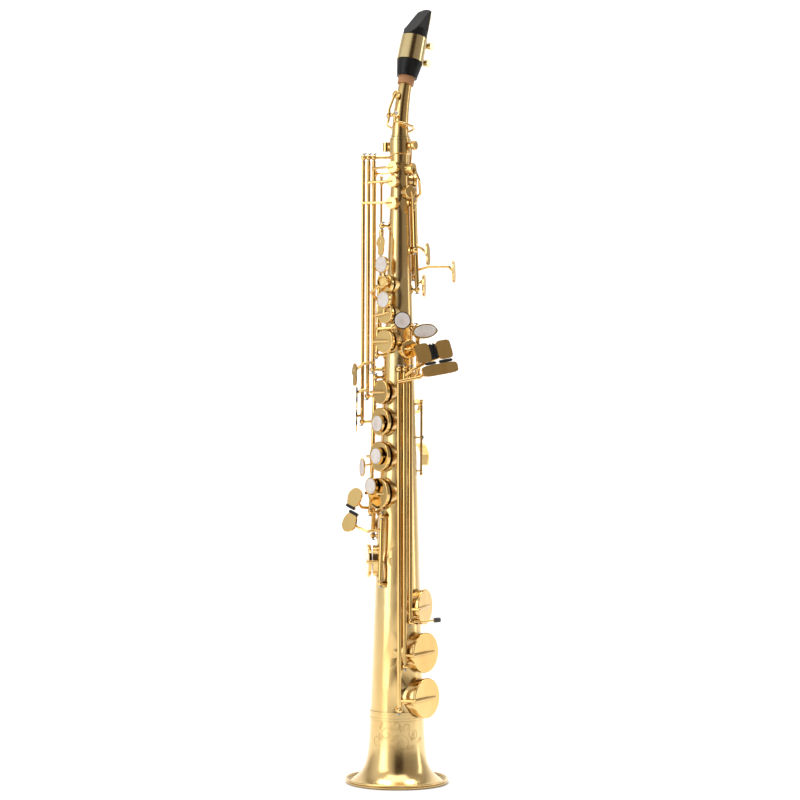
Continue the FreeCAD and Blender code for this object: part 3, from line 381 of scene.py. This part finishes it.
def principal(node_name):
    """Centre, axes from longest to shortest, and half sizes of a disc-like CAD node."""
    points = [v.co.copy() for v in NODES[node_name].data.vertices]
    centre = sum(points, Vector()) / len(points)
    cloud = np.array([p - centre for p in points])
    _, vectors = np.linalg.eigh(cloud.T @ cloud)
    axes = [Vector(vectors[:, i]) for i in (2, 1, 0)]
    middle = centre.copy()
    halves = []
    for a in axes:
        along = [(p - centre).dot(a) for p in points]
        middle += a * ((max(along) + min(along)) / 2)
        halves.append((max(along) - min(along)) / 2)
    return middle, axes, halves


def body_radius(z):
    """The body's outer radius, in metres, at a height in metres."""
    return 0.0074 + (0.566 - z) * 0.0332


def bell_radius(z):
    """The bell's outer radius, in metres: the body's cone and an exponential flare."""
    flare = 0.046 - body_radius(0)
    return body_radius(z) + flare * math.exp(-z / 0.0088)


def outward(degrees):
    """The level direction out of the body at an azimuth, 0 being towards the camera."""
    a = math.radians(degrees)
    return Vector((math.sin(a), -math.cos(a), 0))


def resting(joint_name, point, direction):
    """Where a point and a direction of a closed key are while it stands open at rest."""
    j = JOINTS[joint_name]
    turn = Matrix.Rotation(-math.radians(max(j["range_deg"], key=abs)), 4, Vector(j["axis"]))
    at = Vector(j["pos_m"])
    return turn @ (point - at) + at, turn @ direction


# ---------------------------------------------------------------- pads, with resonators

RESONATOR_FROM = 6 * MM    # smaller pads have no resonator


def pad(name, centre, outside, radius, thick, body, replaces=None):
    """A leather pad: a rounded drum with a seat ring pressed in it, and a brass resonator and rivet."""
    face = -outside
    r, t = radius, thick / 2
    profile = [(0, -t), (r * 0.96, -t), (r, -t + 0.0003), (r, t - 0.0008),
               (r * 0.985, t - 0.0003), (r * 0.955, t - 0.00003), (r * 0.92, t + 0.00004),
               (r * 0.90, t - 0.00010), (r * 0.87, t - 0.00010),
               (r * 0.85, t + 0.00002), (r * 0.6, t + 0.00005), (0, t + 0.00005)]
    made = lathe(name, profile, centre, face, body, LEATHER, 56)
    if replaces:
        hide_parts(replaces)
    if r > RESONATOR_FROM:
        d = r * 0.52
        ring = [(d, t - 0.0001), (d, t + 0.00018), (d * 0.94, t + 0.00022), (d * 0.3, t + 0.00008),
                (0.0011, t + 0.00008), (0.0009, t + 0.00024), (0, t + 0.00028)]
        lathe(name + "_resonator", ring, centre, face, body, KEY_BRASS, 40)


for cad_name in sorted(NODES):
    if cad_name.endswith("_pad"):
        centre, axes, halves = principal(cad_name)
        outside = axes[2]
        if outside.dot(Vector((centre.x, centre.y, 0))) < 0:
            outside = -outside
        pad(cad_name + "_leather", centre, outside, (halves[0] + halves[1]) / 2, halves[2] * 2,
            NODES[cad_name]["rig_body"], replaces=cad_name)

# Small cups without a pad in the CAD: body, azimuth, height and tone-hole radius in mm.
SMALL_CUPS = [("side_key_E", -29, 552, 3.2), ("side_key_C", -29, 539.4, 3.2),
              ("side_key_B_flat", -30, 520, 3.5), ("palm_key_D", 40, 530, 3.8),
              ("palm_key_F", 62, 551, 3.4), ("palm_key_E_flat", 104, 541, 3.6),
              ("key_bis", -112, 434, 4.4)]
# As in the CAD: a chimney's rise, the gap over its seat, and half a pad's thickness.
SEAT_HEIGHT, SEAT_GAP, SMALL_PAD_HALF = 3.0, 0.25, 1.2
SMALL_PAD_THICK, PAD_OVER_HOLE = 2.35, 1.25
for body, angle, z, hole in SMALL_CUPS:
    n = outward(angle)
    above_body = (SEAT_HEIGHT + SEAT_GAP + SMALL_PAD_HALF) * MM
    middle = n * (body_radius(z * MM) + above_body) + Vector((0, 0, z * MM))
    if body == "key_bis":
        middle, n = resting("key_bis_hinge", middle, n)
    pad(body + "_pad_leather", middle, n, (hole + PAD_OVER_HOLE) * MM, SMALL_PAD_THICK * MM, body)


# ---------------------------------------------------------------- mother-of-pearl touches

def pearl(name, node_name):
    """A dished inlay with a rounded edge, in place of a CAD pearl."""
    centre, axes, halves = principal(node_name)
    front = axes[2]
    if front.dot(Vector((centre.x, centre.y, 0))) < 0:
        front = -front
    a, b, t = halves
    edge = 0.6 * MM
    dish = 0.35 * MM
    profile = [(0, -t), (a, -t), (a, t - edge), (a - edge * 0.3, t - edge * 0.3), (a - edge, t),
               (a * 0.8, t - dish * 0.35), (a * 0.5, t - dish * 0.8), (a * 0.2, t - dish), (0, t - dish)]
    made = lathe(name, profile, centre, front, NODES[node_name]["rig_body"], PEARL, 64,
                 oval=(1.0, b / a), along=axes[0])
    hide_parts(node_name)


for cad_name in sorted(NODES):
    if cad_name.endswith("_pearl"):
        pearl(cad_name + "_shell", cad_name)

# ---------------------------------------------------------------- rollers of the little-finger keys

# The left little finger's table, as in the CAD: its centre, outward normal and two directions.
TABLE_AT = Vector((32, -17, 387)) * MM
TABLE_N = Vector((0.42, -0.86, 0.24)).normalized()
table_lean = Vector((0.96, 0.28, 0.22))
TABLE_ACROSS = (table_lean - TABLE_N * table_lean.dot(TABLE_N)).normalized()
TABLE_UP = TABLE_N.cross(TABLE_ACROSS)


def on_table(across, up, lift):
    """A place given in mm from the table's centre."""
    return TABLE_AT + (TABLE_ACROSS * across + TABLE_UP * up + TABLE_N * lift) * MM


def roller(name, centre, along, length, radius, body):
    """A black roller with a brass pin showing at each end; length and radius in mm."""
    r, h = radius * MM, length / 2 * MM
    profile = [(0, -h), (r * 0.6, -h), (r * 0.92, -h + 0.0003), (r, -h + 0.0009), (r * 1.06, 0),
               (r, h - 0.0009), (r * 0.92, h - 0.0003), (r * 0.6, h), (0, h)]
    lathe(name, profile, centre, along, body, EBONITE, 32)
    for side, word in ((-1, "a"), (1, "b")):
        tip = centre + along * (side * (h + 0.0001))
        pin = [(0, 0), (r * 0.42, 0), (r * 0.42, 0.0007), (r * 0.3, 0.0009), (0, 0.0009)]
        lathe(f"{name}_pin_{word}", pin, tip, along * side, body, KEY_BRASS, 20)


roller("roller_C_sharp", on_table(-3.1, 0.4, -0.3), TABLE_UP, 13.6, 1.62, "key_low_C_sharp")
roller("roller_B", on_table(0.5, 0.4, -0.3), TABLE_UP, 13.6, 1.62, "key_low_B")
roller("roller_B_flat_left", on_table(-7.6, -9.9, 0.5), TABLE_ACROSS, 10.5, 1.3, "key_low_B_flat")
roller("roller_B_flat_right", on_table(8.4, -9.75, -0.2), TABLE_ACROSS, 13, 1.4, "key_low_B_flat")

# The right little finger's two touches face each other across their rollers.
PINKY_N = Vector((-0.62, -0.74, 0.26)).normalized()
E_FLAT_TOUCH_AT = Vector((-39.0, -12.0, 255.5)) * MM
C_TOUCH_AT = Vector((-43.0, -14.5, 234.5)) * MM
pinky_along = Vector((0.42, 0, 0.9))
pinky_along = (pinky_along - PINKY_N * pinky_along.dot(PINKY_N)).normalized()
pinky_across = pinky_along.cross(PINKY_N)
to_roller = pinky_along * 8.4 * MM
roller("roller_E_flat", E_FLAT_TOUCH_AT - to_roller, pinky_across, 11, 1.55, "key_low_E_flat")
roller("roller_C", C_TOUCH_AT + to_roller, pinky_across, 11, 1.55, "key_low_C")

# ---------------------------------------------------------------- pivot screws and needle springs

def islands(obj):
    """The points of each separate solid in an object, lowest first."""
    bm = bmesh.new()
    bm.from_mesh(obj.data)
    bmesh.ops.remove_doubles(bm, verts=bm.verts, dist=1e-6)
    left = set(bm.verts)
    groups = []
    while left:
        stack, group = [left.pop()], []
        while stack:
            v = stack.pop()
            group.append(v.co.copy())
            for e in v.link_edges:
                w = e.other_vert(v)
                if w in left:
                    left.remove(w)
                    stack.append(w)
        groups.append(group)
    bm.free()
    return sorted(groups, key=lambda g: (round(min(p.z for p in g), 5), round(min(p.x for p in g), 5)))


def slotted_head(name, centre, axis, radius):
    """A small screw head with a slot filed across it."""
    turn, at = frame_on(centre, axis)
    half, high = radius * 0.16, radius * 0.42
    angles = [2 * math.pi * (i + 0.5) / 32 for i in range(32)]
    bm = bmesh.new()

    def put(x, y, z):
        return bm.verts.new(at + turn @ Vector((x, y, z)))

    def strip(first, second):
        for k in range(len(first) - 1):
            bm.faces.new((first[k], first[k + 1], second[k + 1], second[k]))

    rings = [[put(r * math.cos(a), r * math.sin(a), h) for a in angles]
             for r, h in ((radius, -0.3 * high), (radius, 0.6 * high), (0.86 * radius, high))]
    for low, top in zip(rings, rings[1:]):
        strip([*low, low[0]], [*top, top[0]])
    grooves = []
    for side in (1, -1):
        arc = [i for i, a in enumerate(angles) if 0.86 * radius * math.sin(a) * side > half]
        arc.sort(key=lambda i: math.cos(angles[i]))
        places = [0.86 * radius * math.cos(angles[i]) for i in arc]
        lip = [put(x, half * side, high) for x in places]
        groove = [put(x, half * side, high - radius * 0.24) for x in places]
        strip([rings[2][i] for i in arc], lip)
        strip(lip, groove)
        grooves.append(groove)
    strip(*grooves)
    finish_piece(object_from(name, bm), "body", STEEL, smooth=False)


SCREW_RADIUS, SPRING_RADIUS = 1.75 * MM, 0.32 * MM
SPRING_LENGTH, SPRING_OFFSET = 20 * MM, 1.2 * MM
# No spring on a rod standing further off the body than this: there it would cut a side key.
SPRING_MOST_REACH = 12 * MM

rods = []
for group in islands(NODES["steel_rods"]):
    middle = sum(group, Vector()) / len(group)
    far = max(group, key=lambda p: (p - middle).length)
    axis = (far - middle).normalized()
    reach = [(p - middle).dot(axis) for p in group]
    low, high = middle + axis * min(reach), middle + axis * max(reach)
    if low.z > high.z:
        low, high, axis = high, low, -axis
    rods.append((low, high, (high - low).normalized()))
for i, (low, high, axis) in enumerate(rods):
    slotted_head(f"pivot_screw_{i:02d}_low", low, -axis, SCREW_RADIUS)
    slotted_head(f"pivot_screw_{i:02d}_high", high, axis, SCREW_RADIUS)
    length = (high - low).length
    off_body = Vector((low.x, low.y, 0)).length - body_radius(low.z)
    if length < SPRING_LENGTH or off_body > SPRING_MOST_REACH:
        continue
    radial = Vector((low.x, low.y, 0)).normalized()
    side = axis.cross(radial).normalized()
    start = low + axis * 3.6 * MM - radial * SPRING_OFFSET + side * SPRING_OFFSET
    end = start + axis * min(SPRING_LENGTH, length * 0.35) - radial * 1.4 * MM + side * 0.8 * MM
    bow = start * 0.6 + end * 0.4 - radial * 0.2 * MM
    wire(f"needle_spring_{i:02d}", [start, bow, end], SPRING_RADIUS, "body", SPRING,
         taper=(1.0, 0.8, 0.4))

# ---------------------------------------------------------------- rolled rim

RIM_SECTION = [(0.0440, 0.0022), (0.0459, 0.0022), (0.0466, 0.0029), (0.0466, 0.0038), (0.0459, 0.0044),
               (0.0450, 0.0043), (0.0446, 0.0037), (0.0449, 0.0032), (0.0440, 0.0028)]
lathe("rim_lip", RIM_SECTION, (0, 0, 0), (0, 0, 1), "body", BODY_BRASS, 96)


# ---------------------------------------------------------------- guard bar and low stop

def bar(name, points, radius, body):
    """A round brass arm with a ball at each end; points and radius in mm."""
    points = [Vector(p) * MM for p in points]
    wire(name, points, radius * MM, body, KEY_BRASS)
    for word, at in (("foot", points[0]), ("end", points[-1])):
        r = radius * 1.35 * MM
        ball = [(r * math.sin(math.pi * i / 10), -r * math.cos(math.pi * i / 10)) for i in range(11)]
        lathe(f"{name}_{word}", ball, at, (points[-1] - points[0]), body, KEY_BRASS, 24)


GUARD_X, GUARD_Y = 20.6, 1.0
bar("guard_bar", [(GUARD_X, GUARD_Y, z) for z in (277, 300, 343)], 1.15, "body")
for z in (280, 310, 340):
    bar(f"guard_stem_{z}", [(15.2, 0.8, z), (18, 0.9, z), (GUARD_X, GUARD_Y, z)], 0.95, "body")
slotted_head("guard_screw", Vector((22.0, GUARD_Y, 310)) * MM, Vector((1, 0, 0)), 1.9 * MM)

bar("low_stop_arm", [(15.6, -27.5, 146.8), (25, -27.0, 147.2), (33.5, -23.5, 147.8)], 1.0,
    "key_low_C_sharp")
STOP_FELT = [(0, -0.0030), (0.0020, -0.0030), (0.0023, -0.0026), (0.0023, 0.0026), (0.0020, 0.0030),
             (0, 0.0030)]
lathe("low_stop_felt", STOP_FELT, Vector((35.2, -22.8, 147.9)) * MM, (0.92, 0.38, 0.03),
      "key_low_C_sharp", FELT, 28)


# ---------------------------------------------------------------- high F sharp touch and fixed rods

HIGH_TOUCH_AT = Vector((-32.4, -5.5, 283)) * MM
HIGH_TOUCH_N = outward(-52)
HIGH_ROD_X, HIGH_ROD_Y = -22.4, 8.8
TOUCH_RIM = [(0, -0.0009), (0.0038, -0.0009), (0.0040, -0.0004), (0.0040, 0.0006), (0.0036, 0.0008),
             (0.0034, 0.0004), (0, 0.0004)]
TOUCH_PEARL = [(0, 0.0003), (0.0034, 0.0003), (0.0034, 0.0008), (0.0028, 0.0012), (0, 0.0011)]
for name, profile, material, slot in (("high_touch_rim", TOUCH_RIM, KEY_BRASS, "key_brass"),
                                      ("high_touch_pearl", TOUCH_PEARL, PEARL, "pearl")):
    lathe(name, profile, HIGH_TOUCH_AT, HIGH_TOUCH_N, "body", material, 48,
          oval=(2.1, 1.0), along=(0, 0, 1))
bar("high_touch_arm", [(HIGH_ROD_X, HIGH_ROD_Y, 286), (-28.5, 6.5, 285), (-31.8, -1.0, 284),
                       (-32.0, -4.6, 283.6)], 1.0, "body")


def braces(word, x, y, stem_angle, stem_heights, stem_radius, collar):
    """Stems from the tube to an upright fixed rod, with a collar at each, in mm."""
    bore, outer, half = collar
    section = [(bore, -half), (outer - 0.2, 0.2 - half), (outer, 0), (outer - 0.2, half - 0.2),
               (bore, half)]
    for z in stem_heights:
        root = outward(stem_angle) * body_radius(z * MM) * 0.97 / MM
        bar(f"{word}_stem_{z}", [(root.x, root.y, z), ((root.x + x) / 2, (root.y + y) / 2, z), (x, y, z)],
            stem_radius, "body")
        lathe(f"{word}_collar_{z}", [(r * MM, h * MM) for r, h in section], Vector((x, y, z)) * MM,
              (0, 0, 1), "body", KEY_BRASS, 24)


LINK_ROD_X, LINK_ROD_Y = -16.6, 11.2
bar("high_rod", [(HIGH_ROD_X, HIGH_ROD_Y, z) for z in (284, 400, 553)], 1.3, "body")
bar("link_rod", [(LINK_ROD_X, LINK_ROD_Y, z) for z in (392, 440, 545)], 1.1, "body")
braces("high", HIGH_ROD_X, HIGH_ROD_Y, -114, (289, 372, 462, 548), 0.95, collar=(1.4, 2.4, 2.2))
braces("link", LINK_ROD_X, LINK_ROD_Y, -126, (396, 470, 540), 0.9, collar=(1.2, 2.1, 2.0))

# ---------------------------------------------------------------- engraving below the lowest keys

def on_bell(degrees, z):
    """A place just above the bell's skin."""
    return outward(degrees) * (bell_radius(z) + 0.00004) + Vector((0, 0, z))


def scroll(name, degrees, z, size_mm, turns, start, spin):
    """A spiral tendril laid on the skin."""
    steps = 25
    points = []
    for i in range(steps + 1):
        t = i / steps
        r = size_mm * (1 - 0.86 * t)
        a = start + spin * turns * 2 * math.pi * t
        x, y = r * math.cos(a), r * math.sin(a)
        radius = bell_radius(z)
        points.append(on_bell(degrees + math.degrees(x * MM / radius), z + y * MM))
    taper = [0.35 + 0.9 * math.sin(math.pi * min(1, i / steps + 0.08)) for i in range(steps + 1)]
    wire(name, points, 0.13 * MM, "body", CUT, taper=taper)


def leaf(name, degrees, z, length, lean, width):
    """A leaf: two curved cuts and a vein."""
    steps = 8
    radius = bell_radius(z)
    for k, side in enumerate((-1, 0, 1)):
        points = []
        for i in range(steps + 1):
            t = i / steps
            along, across = length * t, side * width * math.sin(math.pi * t) ** 0.8
            x = along * math.cos(lean) - across * math.sin(lean)
            y = along * math.sin(lean) + across * math.cos(lean)
            points.append(on_bell(degrees + math.degrees(x * MM / radius), z + y * MM))
        wire(f"{name}_{k}", points, 0.11 * MM, "body", CUT,
             taper=[0.4 + 0.8 * math.sin(math.pi * i / steps) for i in range(steps + 1)])


# Each scroll: azimuth, height, size in mm and which way it winds. Each leaf: azimuth, height, length, lean.
SCROLLS = [(-22, 46, 6.5, 1), (10, 38, 7.5, -1), (38, 46, 6.0, 1), (-2, 54, 4.6, 1), (22, 52, 4.2, -1),
           (-44, 40, 5.4, -1)]
LEAVES = [(-12, 40, 9, 0.7), (-30, 40, 8, 2.2), (20, 33, 9, 0.3), (0, 32, 8, 2.6), (30, 40, 8, 1.1),
          (46, 38, 7, 0.6), (-38, 50, 7, 1.2), (8, 48, 7, 1.7)]
for k, (angle, z, big, spin) in enumerate(SCROLLS):
    scroll(f"engraved_scroll_{k}", angle, z * MM, big, 1.3, 0.4 + k, spin)
for k, (angle, z, length, lean) in enumerate(LEAVES):
    leaf(f"engraved_leaf_{k}", angle, z * MM, length, lean, 1.5)

# ---------------------------------------------------------------- stage, camera and light

def floor_material():
    m, tree, shader = new_material("pale_floor")
    pale = (0.95, 0.95, 0.95)
    shade = tuple(c * 0.985 for c in pale)
    tree.links.new(ramp(tree, noise(tree, 3), [(0.3, shade), (0.7, pale)]), shader.inputs["Base Color"])
    shader.inputs["Roughness"].default_value = 0.75
    return m


def sweep(name, half, back, rise, bend):
    """A pale floor that curves up into a wall behind the object."""
    front, steps = -12.0, 24
    rows = [(front, 0.0)]
    for i in range(steps + 1):
        a = math.pi / 2 * i / steps
        rows.append((back - bend + bend * math.sin(a), bend - bend * math.cos(a)))
    rows.append((back, rise))
    below_rim = 0.0002
    points = [(x, y, z - below_rim) for y, z in rows for x in (-half, half)]
    faces = [(2 * i, 2 * i + 1, 2 * i + 3, 2 * i + 2) for i in range(len(rows) - 1)]
    mesh = bpy.data.meshes.new(name)
    mesh.from_pydata(points, [], faces)
    mesh.polygons.foreach_set("use_smooth", [True] * len(faces))
    mesh.materials.append(floor_material())
    obj = bpy.data.objects.new(name, mesh)
    bpy.context.scene.collection.objects.link(obj)


sweep("studio_floor", half=9.0, back=3.2, rise=4.5, bend=1.6)

CAMERA_AT = (0.0012, -2.1, 0.3436)
CAMERA_ROLL = math.radians(-0.3)
camera_data = bpy.data.cameras.new("camera")
camera = bpy.data.objects.new("camera", camera_data)
bpy.context.scene.collection.objects.link(camera)
camera.location = CAMERA_AT
camera.rotation_euler = (math.radians(90), CAMERA_ROLL, 0)
camera_data.lens = 105.0
camera_data.clip_end = 60
bpy.context.scene.camera = camera
bpy.context.scene.view_settings.view_transform = "Standard"


def studio_world():
    """White for the camera; for reflections, bright and dark upright bands round the object."""
    world = bpy.data.worlds.new("studio")
    bpy.context.scene.world = world
    world.use_nodes = True
    tree = world.node_tree
    surface = tree.nodes["Background"]
    place = node(tree, "ShaderNodeTexCoord")
    parts = node(tree, "ShaderNodeSeparateXYZ")
    tree.links.new(place.outputs["Generated"], parts.inputs["Vector"])
    minus = node(tree, "ShaderNodeMath", operation="MULTIPLY")
    minus.inputs[1].default_value = -1.0
    tree.links.new(parts.outputs["Y"], minus.inputs[0])
    turn = node(tree, "ShaderNodeMath", operation="ARCTAN2")
    tree.links.new(parts.outputs["X"], turn.inputs[0])
    tree.links.new(minus.outputs[0], turn.inputs[1])
    share = node(tree, "ShaderNodeMapRange")
    share.inputs["From Min"].default_value = -math.pi
    share.inputs["From Max"].default_value = math.pi
    tree.links.new(turn.outputs[0], share.inputs["Value"])
    # Each band: where round the turn it starts, its brightness, and how much green and blue it keeps.
    bands = [(0.0, 0.32, 1.0), (0.11, 0.24, 0.8), (0.19, 0.74, 0.97), (0.26, 1.0, 1.0), (0.42, 0.92, 1.0),
             (0.465, 0.40, 0.9), (0.485, 0.05, 0.6), (0.56, 0.05, 0.6), (0.585, 0.34, 0.85),
             (0.70, 0.42, 0.9), (0.84, 0.56, 0.95), (0.92, 0.12, 0.7)]
    stops = [(at, (v, v * keep, v * keep * keep)) for at, v, keep in bands]
    reflected = ramp(tree, share.outputs["Result"], stops)
    path = node(tree, "ShaderNodeLightPath")
    shown = mixed(tree, path.outputs["Is Camera Ray"], reflected, (1.0, 1.0, 1.0))
    tree.links.new(shown, surface.inputs["Color"])
    surface.inputs["Strength"].default_value = 0.82


studio_world()


def softbox(name, at, target, width, height, power, colour=(1, 1, 1)):
    """A rectangular light at a place, turned towards target; sizes in metres, power in watts."""
    data = bpy.data.lights.new(name, "AREA")
    data.shape = "RECTANGLE"
    data.size, data.size_y = width, height
    data.energy = power
    data.color = colour
    obj = bpy.data.objects.new(name, data)
    obj.location = at
    aim = Vector(target) - Vector(at)
    obj.rotation_euler = aim.to_track_quat("-Z", "Y").to_euler()
    bpy.context.scene.collection.objects.link(obj)


softbox("key_light", (-1.7, -1.3, 0.8), (0, 0, 0.35), 1.1, 1.8, 15, (1.0, 0.98, 0.95))
softbox("fill_light", (1.9, 0.2, 0.6), (0, 0, 0.35), 0.35, 1.6, 4, (1.0, 0.99, 0.97))
softbox("backdrop_light", (0, 0.6, 3.6), (0, 2.6, 0.4), 3.0, 1.2, 120)
softbox("top_light", (0, -0.8, 3.0), (0, 0, 0.0), 2.4, 1.6, 26)
